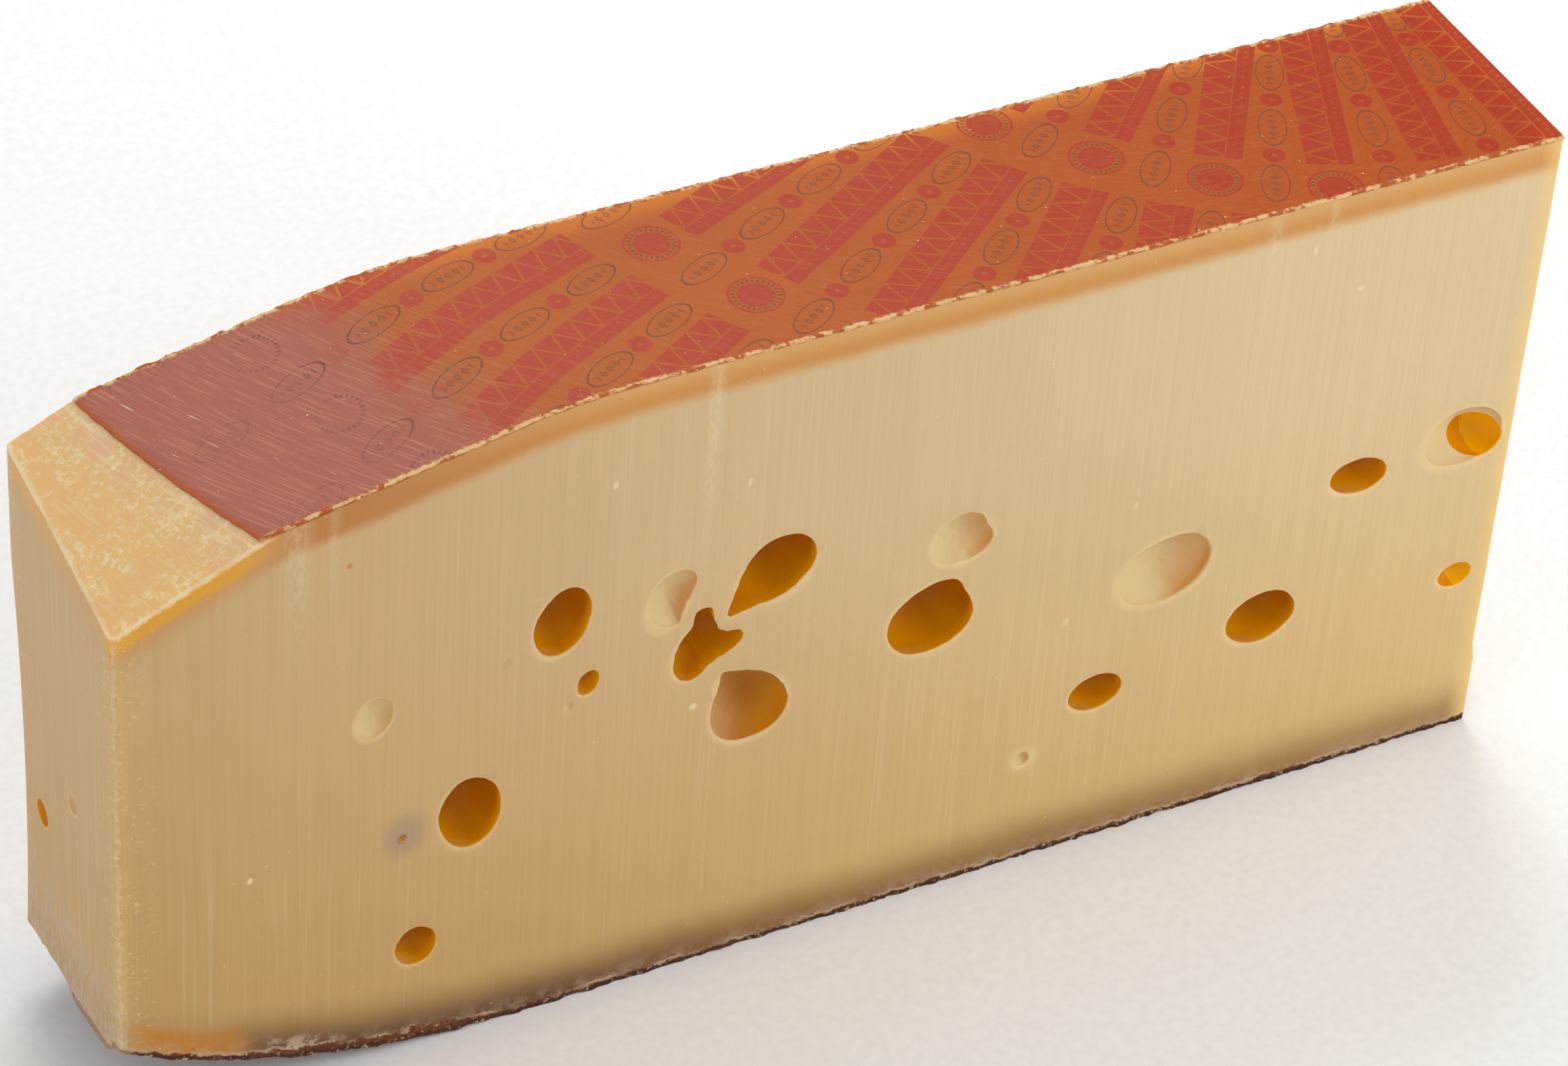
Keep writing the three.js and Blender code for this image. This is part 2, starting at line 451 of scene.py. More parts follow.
def open_mouth(cutter, mouth, inward, lip):
    """Trims the bubble just inside the cut face and flares it out past the face in short steps."""
    edit(cutter)
    bpy.ops.mesh.select_all(action="SELECT")
    bpy.ops.mesh.bisect(plane_co=mouth + inward * lip * MM, plane_no=inward, clear_inner=True)
    bpy.ops.mesh.select_all(action="DESELECT")
    bpy.ops.mesh.select_mode(type="EDGE")
    bpy.ops.mesh.select_non_manifold()
    form = bmesh.from_edit_mesh(cutter.data)
    rim = [v.co.copy() for v in form.verts if v.select]
    middle = sum(rim, Vector()) / len(rim)
    size = sum((v - middle).length for v in rim) / len(rim) / MM
    for step, flare in ((0.55, 0.12), (0.35, 0.3), (0.25, 0.55), (3, 0.6)):
        grow = (size + flare * lip) / size
        size += flare * lip
        stretch = Vector([1 if abs(inward[axis]) > 0.5 else grow for axis in range(3)])
        move = step * lip if step < 1 else step
        bpy.ops.mesh.extrude_region_move(TRANSFORM_OT_translate={"value": -inward * move * MM})
        bpy.ops.transform.resize(value=stretch, center_override=middle)
    bpy.ops.mesh.edge_face_add()
    bpy.ops.mesh.select_all(action="SELECT")
    bpy.ops.mesh.normals_make_consistent(inside=False)
    done()


def cut_eyes(block, finishes):
    cutters = []
    for face in CUT_FACES:
        for eye in face[0]:
            cutter = eye_cutter(eye, face, len(cutters))
            cutter.data.materials.append(finishes[{DISH: "dish", OPEN: "open"}.get(eye[2], "deep")])
            cutters.append(cutter)
    clear_selection()
    for cutter in cutters:
        cutter.select_set(True)
    bpy.context.view_layer.objects.active = cutters[0]
    bpy.ops.object.join()
    tool = bpy.context.object
    apply_modifier(block, "BOOLEAN", object=tool, operation="DIFFERENCE", solver="EXACT",
                   use_self=True, material_mode="TRANSFER")
    bpy.data.objects.remove(tool)


# ---------------------------------------------------------------- printed film

FILM_ROWS = (0.35, 0.7, 1.1, 1.6, 2.3)


BURR_WIDTH = 1.5
FILM_INSET = 0.15


def lay_film(x, y, z):
    """Lays the flat film on the wheel's top face, with its cut edges picked up and frayed by the wire."""
    from_edge = min(y - FRONT, BACK - y)
    near = max(0, 1 - from_edge / BURR_WIDTH)
    bits = wander(x, 0, 0, 3.4, 20) + 0.8 * wander(x, from_edge, 0, 1.2, 21)
    burr = near * max(0, 0.15 + 0.5 * bits)
    side = -1 if y < 0 else 1
    jut = near * (0.3 * wander(x, 1, 0, 2.2, 22) + 0.25 * wander(x, 2, 0, 0.9, 23))
    ripple = 0.05 * wander(x, y, 0, 9, 24) * min(1, from_edge / 4)
    return x, y + side * (jut - FILM_INSET), top_of_wheel(x, y) + FILM_THICKNESS * 0.9 + burr + ripple


def printed_film():
    bpy.ops.mesh.primitive_grid_add(x_subdivisions=440, y_subdivisions=30, size=1)
    film = bpy.context.object
    film.name = "printed_film"
    film.scale = ((LENGTH - 0.4) * MM, THICKNESS * MM, 1)
    film.location = (-0.6 * MM, 0, 0)
    bpy.ops.object.transform_apply(location=True, rotation=True, scale=True)
    edit(film)
    for row in FILM_ROWS:
        rule_line((0, FRONT + row), (0, 1, 0))
        rule_line((0, BACK - row), (0, 1, 0))
    done()
    move_points(film, lay_film)
    apply_modifier(film, "SOLIDIFY", thickness=FILM_THICKNESS * 1.1 * MM, offset=-1)
    bpy.ops.mesh.primitive_cylinder_add(
        vertices=2400, radius=FILM_RADIUS * MM, depth=2 * HEIGHT * MM,
        location=(WHEEL_X * MM, WHEEL_Y * MM, HEIGHT * MM),
    )
    punch = bpy.context.object
    bpy.ops.object.transform_apply(location=True, rotation=True, scale=True)
    move_points(punch, lambda x, y, z: (x + 0.25 * wander(x, y, 0, 3, 25), y, z))
    apply_modifier(film, "BOOLEAN", object=punch, operation="INTERSECT", solver="EXACT")
    bpy.data.objects.remove(punch)
    return film


# ---------------------------------------------------------------- finishes

class Recipe:
    """Builds one finish node by node; numbers and sockets can be mixed freely."""

    def __init__(self, name):
        self.material = bpy.data.materials.new(name)
        self.material.use_nodes = True
        self.tree = self.material.node_tree
        self.shader = self.tree.nodes["Principled BSDF"]

    def put(self, kind, feeds=(), out=0, **settings):
        node = self.tree.nodes.new("ShaderNode" + kind)
        for key, value in settings.items():
            setattr(node, key, value)
        for slot, feed in dict(feeds).items():
            self.feed(node.inputs[slot], feed)
        return node.outputs[out]

    def feed(self, socket, value):
        if isinstance(value, bpy.types.NodeSocket):
            self.tree.links.new(value, socket)
        else:
            socket.default_value = value

    def math(self, operation, first, second=0.0):
        return self.put("Math", {0: first, 1: second}, operation=operation)

    def add(self, *terms):
        total = terms[0]
        for term in terms[1:]:
            total = self.math("ADD", total, term)
        return total

    def times(self, *terms):
        total = terms[0]
        for term in terms[1:]:
            total = self.math("MULTIPLY", total, term)
        return total

    def ramp(self, value, start, end, low=0.0, high=1.0):
        """Goes smoothly from low to high as value goes from start to end."""
        return self.put("MapRange", {0: value, 1: start, 2: end, 3: low, 4: high},
                        interpolation_type="SMOOTHSTEP")

    def slope(self, value, start, end, low=0.0, high=1.0):
        """Goes evenly from low to high as value goes from start to end."""
        return self.put("MapRange", {0: value, 1: start, 2: end, 3: low, 4: high})

    def less(self, first, second):
        return self.math("SUBTRACT", first, second)

    def mix_numbers(self, share, first, second):
        return self.put("Mix", {0: share, 2: first, 3: second})

    def between(self, value, low, high, soft):
        rising = self.ramp(value, low - soft, low + soft)
        falling = self.ramp(value, high - soft, high + soft, 1, 0)
        return self.times(rising, falling)

    def mix(self, share, first, second):
        return self.put("Mix", {0: share, 6: first, 7: second}, out=2, data_type="RGBA")

    def shade(self, colour, amount):
        """Lightens or darkens a colour: amount 1 leaves it."""
        return self.put("HueSaturation", {2: amount, 4: colour})

    def noise(self, coordinates, size, detail=3.0, rough=0.55, stretch=(1, 1, 1)):
        """Noise whose grains are size millimetres wide, longer along an axis by its stretch."""
        scale = tuple(1 / (size * share) for share in stretch)
        placed = self.put("VectorMath", {0: coordinates, 1: scale}, operation="MULTIPLY")
        return self.put("TexNoise", {0: placed, 2: 1.0, 3: detail, 4: rough})

    def finish(self, colour, roughness, bump, strength, distance):
        self.feed(self.shader.inputs["Base Color"], colour)
        self.feed(self.shader.inputs["Roughness"], roughness)
        normal = self.put("Bump", {"Height": bump, "Strength": strength, "Distance": distance * MM})
        self.feed(self.shader.inputs["Normal"], normal)
        return self.material


def tone(red, green, blue):
    """A colour as it looks, 0 to 255, turned into light values."""
    def light(value):
        share = value / 255
        return share / 12.92 if share <= 0.04045 else ((share + 0.055) / 1.055) ** 2.4
    return light(red), light(green), light(blue), 1


def place_on_wheel(recipe):
    """Position in millimetres, distance from the wheel's middle, and heights over the two rinds."""
    spot = recipe.put("VectorMath", {0: recipe.put("TexCoord", out=3), 3: 1 / MM}, operation="SCALE")
    axes = recipe.put("SeparateXYZ", {0: spot}).node.outputs
    x, y, z = axes[0], axes[1], axes[2]
    right = recipe.math("SUBTRACT", WHEEL_X, x)
    ahead = recipe.math("SUBTRACT", WHEEL_Y, y)
    radius = recipe.math("SQRT", recipe.add(recipe.times(right, right), recipe.times(ahead, ahead)))
    past = recipe.math("MAXIMUM", recipe.math("SUBTRACT", radius, FLAT_RADIUS), 0.0)
    rise = recipe.math("POWER", recipe.times(past, 1 / UNDER_REACH), UNDER_POWER)
    over_rind = recipe.less(z, recipe.times(rise, UNDER_RISE))
    drops = [recipe_fall(recipe, radius, *curve) for curve in (SHOULDER, BARE_STRIP)]
    under_top = recipe.math("SUBTRACT", recipe.math("SUBTRACT", CHEESE_TOP, recipe.add(*drops)), z)
    angle = recipe.math("ARCTAN2", ahead, right)
    return {"spot": spot, "x": x, "y": y, "z": z, "radius": radius, "angle": angle,
            "over_rind": over_rind, "under_top": under_top}


def recipe_fall(recipe, radius, start, run_in, slope):
    past = recipe.math("MAXIMUM", recipe.math("SUBTRACT", radius, start), 0.0)
    soft = recipe.math("MINIMUM", past, run_in)
    bent = recipe.times(soft, soft, 1 / (2 * run_in))
    return recipe.times(recipe.add(bent, recipe.math("SUBTRACT", past, soft)), slope)


def near_oval(recipe, spot, middle, size, lean=0.0, turn=0.0):
    """Distance from a middle, measured in ovals: 1 at the edge of one this size."""
    turned = Euler((0, math.radians(lean), turn)).to_matrix()
    away = recipe.put("VectorMath", {0: spot, 1: middle}, operation="SUBTRACT")
    squares = []
    for axis in range(3):
        side = tuple(turned.col[axis] / size[axis])
        reach = recipe.put("VectorMath", {0: away, 1: side}, out=1, operation="DOT_PRODUCT")
        squares.append(recipe.times(reach, reach))
    return recipe.math("SQRT", recipe.add(*squares))


SMALLEST_GLOW = 5                                  # eyes narrower than this have none
GLOW_DEPTH = 4


def painted_lip_highlight(recipe, place):
    """Painted highlight: 1 at every eye's mouth, fading out over the paste round it, set a little lower and
    towards the rim end.
    """
    nearest = 10.0
    for eyes, place_at, along, _ in CUT_FACES:
        turn = math.pi / 2 if along[1] else 0
        for distance, height, _, mouth in eyes:
            for right, up, width, tall, lean in mouth["lobes"]:
                if width < SMALLEST_GLOW:
                    continue
                x, y, z = place_at(distance + right, height + up)
                size = (width / 2, GLOW_DEPTH, tall / 2)
                reach = near_oval(recipe, place["spot"], (x - 0.4, y, z - 0.5), size, lean, turn)
                nearest = recipe.math("MINIMUM", nearest, reach)
    return recipe.ramp(nearest, 1.0, 1.2, 1, 0)


CORE_PASTE = tone(223, 198, 156)
CORE_LOW = tone(219, 186, 126)
RIM_PASTE = tone(198, 162, 112)
RIM_LOW = tone(193, 152, 92)
# Painted glow: lighter colour along the upright edges of the cut faces, where light shines through the thin
# edges
EDGE_PAINTED_GLOW = tone(236, 202, 130)
BAND_TOP = tone(216, 160, 92)
BAND_DEEP = tone(205, 140, 58)
BAND_RIM = tone(186, 120, 54)
SHOULDER_BAND = tone(222, 160, 38)
END_BAND = tone(218, 164, 96)
SHOULDER_FADE = tone(204, 140, 78)
LOW_BAND = tone(140, 94, 46)
LOW_RIM = tone(112, 74, 42)
LOW_PATCH = tone(195, 130, 42)
BLOOM = tone(190, 166, 138)
BARE_RIND = tone(225, 182, 122)
BARE_GOLD = tone(228, 188, 114)
BARE_PINK = tone(220, 176, 136)
POWDER = tone(232, 212, 172)
RIND = tone(112, 62, 28)
RIND_DARK = tone(68, 42, 32)
RIND_PALE = tone(196, 168, 138)
RIND_GREY = tone(158, 130, 106)
# Eye walls, colours painted for light in the hollows: glow inside, painted shade deeper in and on walls
# facing down, paler where walls face the light
EYE_BROWN = tone(198, 120, 0)
EYE_GOLD = tone(236, 170, 0)
EYE_OCHRE = tone(226, 148, 0)
EYE_YELLOW = tone(244, 184, 0)
EYE_LIT_TAN = tone(218, 164, 92)
OPEN_TAN = tone(204, 166, 110)
OPEN_TOP_SHADE = tone(186, 142, 86)
OPEN_BROWN = tone(192, 122, 36)
OPEN_GOLD = tone(208, 136, 10)
DISH_PALE = tone(221, 195, 146)
DISH_SHADE = tone(200, 172, 122)
DISH_PEACH = tone(206, 148, 88)
DISH_GOLD = tone(204, 140, 54)
BRUISE = tone(160, 132, 116)
# Painted highlight round the eyes' mouths and on their lips, where the rounded lip catches the light
LIP_HIGHLIGHT = tone(238, 214, 160)
LIP_HIGHLIGHT_SHARE = 0.3                                   # how much of the painted highlight's colour lies round an eye's mouth

MARK_DEPTH = 1.5
MARK_LEAN = 10
# Marks on the front cut: distance along the face, height, half width, half height, colour, strength
MARKS = (
    (76.5, 74.7, 7.5, 9, BRUISE, 0.5),
    (75.9, 73.8, 1.6, 1.9, tone(120, 76, 40), 0.8),
    (103.4, 122.2, 1.6, 2.4, tone(180, 148, 100), 0.4),
    (60.8, 167.8, 0.9, 1.2, tone(190, 128, 64), 0.8),
    # The pale mark round the small dish at 256 is a painted glow round its mouth
    (256.1, 36.3, 5.5, 5.5, tone(232, 208, 158), 0.5),
    (130.8, 170.3, 0.9, 1.6, POWDER, 0.9),
    (167.8, 159.7, 0.8, 1.8, POWDER, 0.8),
    (155.7, 90.1, 1.3, 1.5, POWDER, 0.9),
    (35.0, 74.8, 1.0, 1.4, POWDER, 0.9),
    (264.5, 81.6, 1.3, 1.6, POWDER, 0.7),
    (342.4, 167.9, 1.3, 1.0, POWDER, 1.0),
    (326.7, 184.6, 1.0, 1.8, POWDER, 0.8),
    (281.9, 115.2, 0.9, 1.8, POWDER, 0.6),
)
# Dusty streaks down the front cut: distance along the face, half width, where they start, strength
STREAKS = (
    (157, 1.8, 130, 0.45),
    (47.5, 3.0, 128, 0.34),
    (57, 1.3, 140, 0.25),
    (314, 1.8, 140, 0.3),
    (331, 1.1, 150, 0.26),
)


def front_marks(recipe, place, colour):
    for distance, height, half_width, half_tall, paint, strength in MARKS:
        middle = (RIM_END + distance, FRONT, height)
        reach = near_oval(recipe, place["spot"], middle, (half_width, MARK_DEPTH, half_tall), MARK_LEAN)
        colour = recipe.mix(recipe.ramp(reach, 0.35, 1.1, strength, 0.0), colour, paint)
    return colour


def from_cut_edge(recipe, place):
    """Distance from the nearest upright edge between two cut faces."""
    along = recipe.math("MINIMUM", recipe.less(place["x"], RIM_END), recipe.less(INNER_END, place["x"]))
    through = recipe.math("MINIMUM", recipe.less(place["y"], FRONT), recipe.less(BACK, place["y"]))
    return recipe.math("MAXIMUM", along, through)


def plain_paste(recipe, place):
    """The paste itself: paler towards the wheel's middle, darker lower down, with the wire's lines."""
    spot, z, radius = place["spot"], place["z"], place["radius"]
    fine = recipe.noise(spot, 0.9, 2, 0.5, (1, 1, 120))
    lines = recipe.noise(spot, 3.2, 3, 0.5, (1, 1, 60))
    cloud = recipe.noise(spot, 70, 2)
    to_rim = recipe.slope(radius, 120, 430)
    upper = recipe.mix(to_rim, CORE_PASTE, RIM_PASTE)
    lower = recipe.mix(to_rim, CORE_LOW, RIM_LOW)
    colour = recipe.mix(recipe.slope(z, 140, 15), upper, lower)
    light = recipe.add(0.88, recipe.times(fine, 0.1), recipe.times(lines, 0.06), recipe.times(cloud, 0.08))
    colour = recipe.shade(colour, light)

    threads = recipe.ramp(recipe.noise(spot, 1.4, 2, 0.5, (1, 1, 80)), 0.56, 0.68)
    scuffed = recipe.ramp(recipe.noise(spot, 34, 2, 0.5, (1, 1, 2.5)), 0.42, 0.62, 0.03, 0.14)
    colour = recipe.mix(recipe.times(threads, scuffed), colour, POWDER)
    return colour, fine, lines


def paste_surface(recipe, place, colour):
    """What lies over the paste on the cut faces: bands, dust, crumbs along the edges, marks, with a painted
    glow along the upright edges and a painted highlight round the eyes' mouths.
    """
    spot, x, radius = place["spot"], place["x"], place["radius"]
    ragged = recipe.less(recipe.noise(spot, 16, 4, 0.5, (1, 1, 1.2)), 0.5)
    colour = add_bands(recipe, place, colour, ragged)
    colour = add_streaks(recipe, place, colour)

    # Painted glow along the upright edges, stronger towards the inner end
    edge = from_cut_edge(recipe, place)
    inner = recipe.ramp(x, 0, 190, 0.12, 0.75)
    colour = recipe.mix(recipe.times(recipe.ramp(edge, 0.5, 8, 1, 0), inner), colour, EDGE_PAINTED_GLOW)
    crumbs = recipe.noise(spot, 1.2, 4, 0.7, (1, 1, 1.8))
    crumbly = recipe.ramp(recipe.add(edge, recipe.times(crumbs, -5.0)), -2.2, -0.6, 1, 0)
    crumbly = recipe.times(crumbly, recipe.ramp(radius, 300, 360, 0.25, 0.4))
    colour = recipe.mix(crumbly, colour, POWDER)
    nicks = recipe.ramp(recipe.noise(spot, 1.1, 3, 0.6, (2.2, 2.2, 1)), 0.6, 0.68)
    nicks = recipe.times(nicks, recipe.ramp(edge, 3, 14, 1, 0), recipe.ramp(radius, 340, 400, 0.1, 0.5))
    colour = recipe.mix(nicks, colour, POWDER)
    flecks = recipe.ramp(recipe.noise(spot, 1.5, 2, 0.6, (1, 1, 1.6)), 0.74, 0.76)
    patches = recipe.ramp(recipe.noise(spot, 22, 2), 0.45, 0.65)
    colour = recipe.mix(recipe.times(flecks, patches, 0.7), colour, POWDER)
    # Painted highlight round every eye's mouth
    colour = recipe.mix(recipe.times(painted_lip_highlight(recipe, place), LIP_HIGHLIGHT_SHARE), colour, LIP_HIGHLIGHT)
    return front_marks(recipe, place, colour)


def add_streaks(recipe, place, colour):
    """Dust dragged down the front cut, and pale fibres low on the rim end."""
    dust = recipe.ramp(recipe.noise(place["spot"], 1.3, 4, 0.7, (1, 1, 2.5)), 0.36, 0.6, 0.25, 1.0)
    dust = recipe.times(dust, recipe.ramp(place["y"], FRONT + 2, FRONT + 5, 1, 0))
    for distance, half_width, start, strength in STREAKS:
        middle = RIM_END + distance
        streak = recipe.between(place["x"], middle - half_width, middle + half_width, half_width)
        streak = recipe.times(streak, recipe.ramp(place["z"], start, start + 50), strength)
        colour = recipe.mix(recipe.times(streak, dust), colour, POWDER)
    fibres = recipe.ramp(recipe.noise(place["spot"], 1.2, 4, 0.65, (1, 1, 4)), 0.42, 0.58)
    fibres = recipe.times(fibres, recipe.ramp(place["z"], 36, 58, 1, 0))
    fibres = recipe.times(fibres, recipe.ramp(place["x"], RIM_END + 1, RIM_END + 4, 0.8, 0))
    return recipe.mix(fibres, colour, BLOOM)


def add_bands(recipe, place, colour, ragged):
    """The warm band under the film and the darker, drier one over the lower rind."""
    x, radius = place["x"], place["radius"]
    on_front = recipe.ramp(place["y"], FRONT + 2, FRONT + 6, 1, 0)
    depth = recipe.add(place["under_top"], recipe.times(ragged, 2.4))
    band = recipe.ramp(depth, 6.2, 11.0, 1, 0)
    warm = recipe.mix(recipe.ramp(depth, 0.5, 6), BAND_TOP, BAND_DEEP)
    warm = recipe.mix(recipe.ramp(radius, 300, 370), warm, BAND_RIM)
    covered = recipe.ramp(recipe.add(radius, recipe.times(ragged, 8.0)), 379, 394, 1, 0)
    colour = recipe.mix(recipe.times(band, covered, 0.88), colour, warm)
    bare = recipe.less(1.0, covered)
    bright = recipe.mix(on_front, END_BAND, SHOULDER_BAND)
    fade_share = recipe.mix_numbers(on_front, 0.2, 0.6)
    fade = recipe.times(recipe.ramp(depth, 4, 14, 1, 0), bare, fade_share)
    colour = recipe.mix(fade, colour, SHOULDER_FADE)
    to_back = recipe.ramp(place["y"], FRONT + 14, FRONT + 52, 0.15, 1.0)
    glow = recipe.mix_numbers(on_front, to_back, 0.9)
    glow_depth = recipe.mix_numbers(on_front, 12.0, 7.5)
    glow = recipe.times(recipe.ramp(depth, 3.2, glow_depth, 1, 0), bare, glow)
    colour = recipe.mix(glow, colour, bright)

    over = recipe.add(place["over_rind"], recipe.times(ragged, 5.0))
    low = recipe.ramp(over, 3, 21, 1, 0)
    low = recipe.times(low, recipe.add(0.72, recipe.times(low, 0.28)))
    low = recipe.times(low, recipe.slope(x, RIM_END + 100, RIM_END + 380, 1.0, 0.68))
    low = recipe.times(low, recipe.ramp(x, RIM_END + 12, RIM_END + 46, 0.2, 1.0))
    dry = recipe.mix(recipe.ramp(x, RIM_END + 100, RIM_END + 200), LOW_RIM, LOW_BAND)
    colour = recipe.mix(low, colour, dry)
    grain = recipe.noise(place["spot"], 2.2, 3, 0.6, (1, 1, 8))
    patch = recipe.between(over, 1.8, 10.5, 2.4)
    patch = recipe.times(patch, recipe.between(x, RIM_END + 4, RIM_END + 33, 5), on_front)
    patch = recipe.times(patch, recipe.ramp(grain, 0.25, 0.65, 0.7, 1.0))
    colour = recipe.mix(patch, colour, LOW_PATCH)
    bloom = recipe.ramp(recipe.noise(place["spot"], 5, 5, 0.7), 0.42, 0.6)
    local = recipe.times(recipe.between(x, RIM_END + 38, RIM_END + 60, 5), recipe.between(over, 1, 7.5, 1.6))
    local = recipe.times(local, on_front)
    everywhere = recipe.ramp(place["over_rind"], 2, 9, 0.35, 0)
    bloom = recipe.times(bloom, recipe.math("MAXIMUM", recipe.times(local, 0.85), everywhere))
    return recipe.mix(bloom, colour, BLOOM)


def with_rinds(recipe, place, colour, roughness):
    """The bare powdery strip outside the film, and the dark rind underneath."""
    spot, x, radius = place["spot"], place["x"], place["radius"]
    up = recipe.put("SeparateXYZ", {0: recipe.put("NewGeometry", out=1)}, out=2)
    granules = recipe.noise(spot, 1.6, 5, 0.7)
    drifts = recipe.noise(spot, 9, 4, 0.65)
    strip = recipe.times(recipe.ramp(radius, 386.5, 387.5), recipe.ramp(up, 0.35, 0.6))
    sweep = recipe.times(place["angle"], 400.0)
    along_film = recipe.put("CombineXYZ", {0: radius, 1: sweep, 2: 0.0})
    combed = recipe.noise(along_film, 1.1, 4, 0.65, (1, 16, 1))
    out = recipe.add(radius, recipe.times(drifts, 10.0))
    bare = recipe.mix(recipe.ramp(out, 394, 409), BARE_PINK, BARE_RIND)
    bare = recipe.mix(recipe.ramp(drifts, 0.35, 0.65, 0, 0.5), bare, BARE_GOLD)
    streaky = recipe.times(recipe.ramp(combed, 0.5, 0.66), recipe.ramp(out, 392, 404, 0.7, 0.25))
    bare = recipe.mix(streaky, bare, POWDER)
    powder = recipe.times(recipe.ramp(granules, 0.49, 0.6), recipe.ramp(drifts, 0.4, 0.58))
    bare = recipe.mix(recipe.times(powder, 0.8), bare, POWDER)
    colour = recipe.mix(strip, colour, bare)
    sides = recipe.math("MINIMUM", recipe.less(place["y"], FRONT), recipe.less(x, RIM_END))
    rim = recipe.add(recipe.math("MAXIMUM", place["under_top"], sides), recipe.times(granules, -2.6))
    rim = recipe.times(recipe.ramp(rim, -0.9, 0.0, 1, 0), recipe.ramp(radius, 384, FILM_RADIUS))
    rim = recipe.times(rim, recipe.ramp(drifts, 0.38, 0.6, 0.3, 0.8))
    colour = recipe.mix(rim, colour, POWDER)
    roughness = recipe.add(roughness, recipe.times(strip, 0.35))

    end_face = recipe.ramp(x, RIM_END + 0.6, RIM_END + 5, 1, 0)
    torn_off = recipe.times(end_face, recipe.ramp(place["y"], FRONT + 32, FRONT + 36), 0.8)
    thick = recipe.add(4.2, recipe.times(recipe.between(x, RIM_END + 38, RIM_END + 96, 14), 3.6))
    thick = recipe.times(thick, recipe.less(1.0, torn_off))
    # The crust follows the loose flap, which hangs lower than the rest
    flap = recipe.between(place["y"], FRONT + 5.5, FRONT + 34.5, 1.5)
    flap = recipe.times(flap, recipe.ramp(x, RIM_END + 2, RIM_END + 28, 3.6, 0))
    over_crust = recipe.add(place["over_rind"], flap)
    crust_noise = recipe.noise(spot, 3.4, 5, 0.65)
    crust_line = recipe.less(over_crust, recipe.times(crust_noise, thick))
    crust = recipe.ramp(crust_line, -0.5, 0.1, 1, 0)
    crumb_line = recipe.times(recipe.between(crust_line, -0.4, 0.6, 0.25), recipe.ramp(drifts, 0.42, 0.55))
    mottle = recipe.noise(spot, 2.6, 4)
    height = recipe.add(over_crust, recipe.times(mottle, 5.0))
    rind = recipe.mix(recipe.ramp(height, 3.2, 5.0), RIND_DARK, RIND)
    rind = recipe.mix(recipe.ramp(recipe.noise(spot, 1.5, 4, 0.7), 0.56, 0.64, 0, 0.85), rind, RIND_PALE)
    rind = recipe.mix(recipe.times(end_face, 0.85), rind, RIND_GREY)
    colour = recipe.mix(crust, colour, rind)
    colour = recipe.mix(recipe.times(crumb_line, 0.7), colour, RIND_PALE)
    roughness = recipe.math("MINIMUM", recipe.add(roughness, recipe.times(crust, 0.4)), 0.95)
    return colour, roughness, granules


def depth_in_cut(recipe, place):
    """How far a point lies behind the nearest cut face."""
    share = recipe.math("MINIMUM", recipe.times(place["z"], 1 / HOLLOW_TOP), 1.0)
    hollow = recipe.times(share, recipe.less(1.0, share), 4 * BACK_HOLLOW)
    depths = (
        recipe.less(place["y"], FRONT),
        recipe.less(recipe.less(BACK, hollow), place["y"]),
        recipe.less(place["x"], RIM_END),
        recipe.less(INNER_END - STEP_DEPTH, place["x"]),
    )
    nearest = depths[0]
    for depth in depths[1:]:
        nearest = recipe.math("MINIMUM", nearest, depth)
    return nearest


